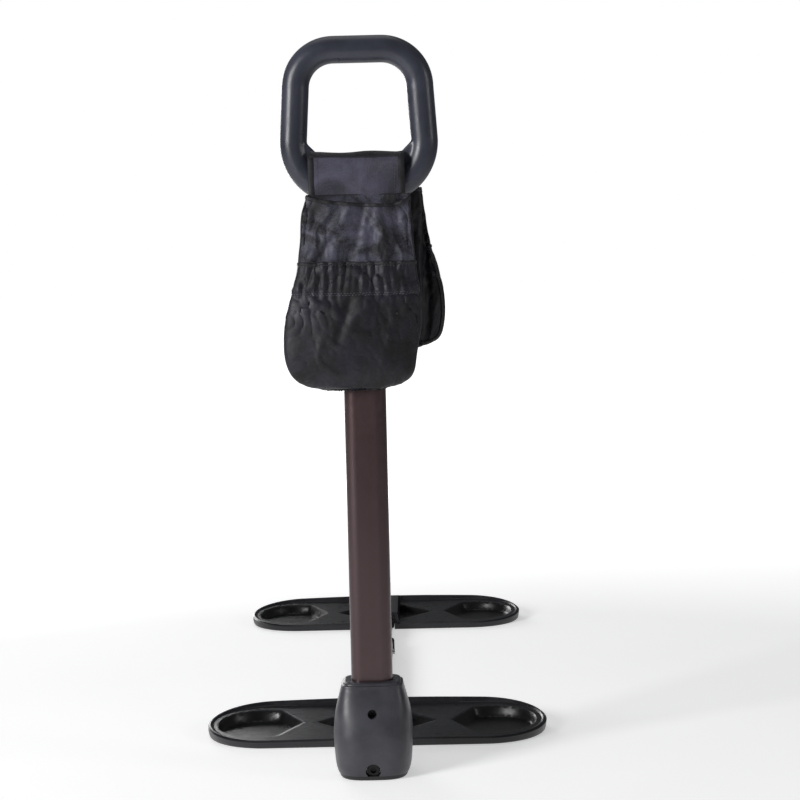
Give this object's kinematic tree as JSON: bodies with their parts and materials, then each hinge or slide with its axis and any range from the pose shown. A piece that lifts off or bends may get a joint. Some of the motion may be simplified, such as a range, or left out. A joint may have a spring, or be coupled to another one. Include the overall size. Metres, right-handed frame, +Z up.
{
  "type": "furniture stand-assist handle",
  "caption": "Floor-standing stand-assist handle: padded loop grip with saddle pouch on a telescopic post, moulded shoe, and a telescopic floor bar with trays that furniture legs hold down.",
  "frame": {"origin": "on the floor, at the middle of the shoe's sole, under the axis of the post", "axes": "+Z up along the post, +Y along the floor bar under the furniture, +X to the right of a person who faces the furniture"},
  "size_m": [0.381, 0.9509, 0.762],
  "materials": {
    "bronze_paint": "satin metallic powder coat, dark plum bronze",
    "bare_steel": "zinc-plated steel",
    "grip_rubber": "moulded rubber, fine matte grain",
    "shoe_plastic": "moulded plastic, satin, fine grain",
    "tray_plastic": "moulded plastic, satin black",
    "black_plastic": "moulded nylon, black",
    "sole_rubber": "black rubber, ribbed",
    "pouch_fabric": "black woven polyester with a soft sheen"
  },
  "bodies": {
    "base": {"outer_post": "bronze_paint", "post_collar": "black_plastic", "shoe_cover": "shoe_plastic", "shoe_sole": "sole_rubber", "base_spigot": "bare_steel", "post_bolt": "bare_steel", "post_nut": "bare_steel", "bar_bolt": "bare_steel", "bar_thread_block": "bare_steel", "base_bar_outer": "bronze_paint", "bar_collar": "black_plastic", "front_pan": "tray_plastic", "front_pan_screw_near": "bare_steel", "front_pan_screw_far": "bare_steel"},
    "handle": {"handle_core": "bare_steel", "handle_neck": "bare_steel", "neck_rivet": "bare_steel", "grip_cover": "grip_rubber", "inner_post": "bronze_paint", "inner_post_glide": "black_plastic", "height_button_spring": "bare_steel", "pouch_saddle": "pouch_fabric", "pouch_front_bag": "pouch_fabric", "pouch_front_pocket": "pouch_fabric", "pouch_rear_bag": "pouch_fabric", "pouch_rear_pocket": "pouch_fabric"},
    "height_button": {"height_button": "bare_steel"},
    "rear_base": {"base_bar_inner": "bronze_paint", "bar_front_glide": "black_plastic", "bar_end_plug": "black_plastic", "length_button_spring": "bare_steel", "rear_pan": "tray_plastic", "rear_pan_sleeve": "black_plastic", "rear_pan_screw_near": "bare_steel", "rear_pan_screw_far": "bare_steel"},
    "length_button": {"length_button": "bare_steel"}
  },
  "joints": [
    {"name": "height_adjust", "type": "slide", "parent": "base", "child": "handle", "axis": [0, 0, 1], "range_m": [-0.0254, 0.0508]},
    {"name": "length_adjust", "type": "slide", "parent": "base", "child": "rear_base", "axis": [0, 1, 0], "range_m": [-0.138, 0]},
    {"name": "height_button_press", "type": "slide", "parent": "handle", "child": "height_button", "axis": [0, 1, 0], "range_m": [0, 0.0056], "stiffness_N_per_m": 1500, "springref_m": -0.002, "deforming": ["height_button_spring"]},
    {"name": "length_button_press", "type": "slide", "parent": "rear_base", "child": "length_button", "axis": [-1, 0, 0], "range_m": [0, 0.0052], "stiffness_N_per_m": 1500, "springref_m": -0.002, "deforming": ["length_button_spring"]}
  ]
}
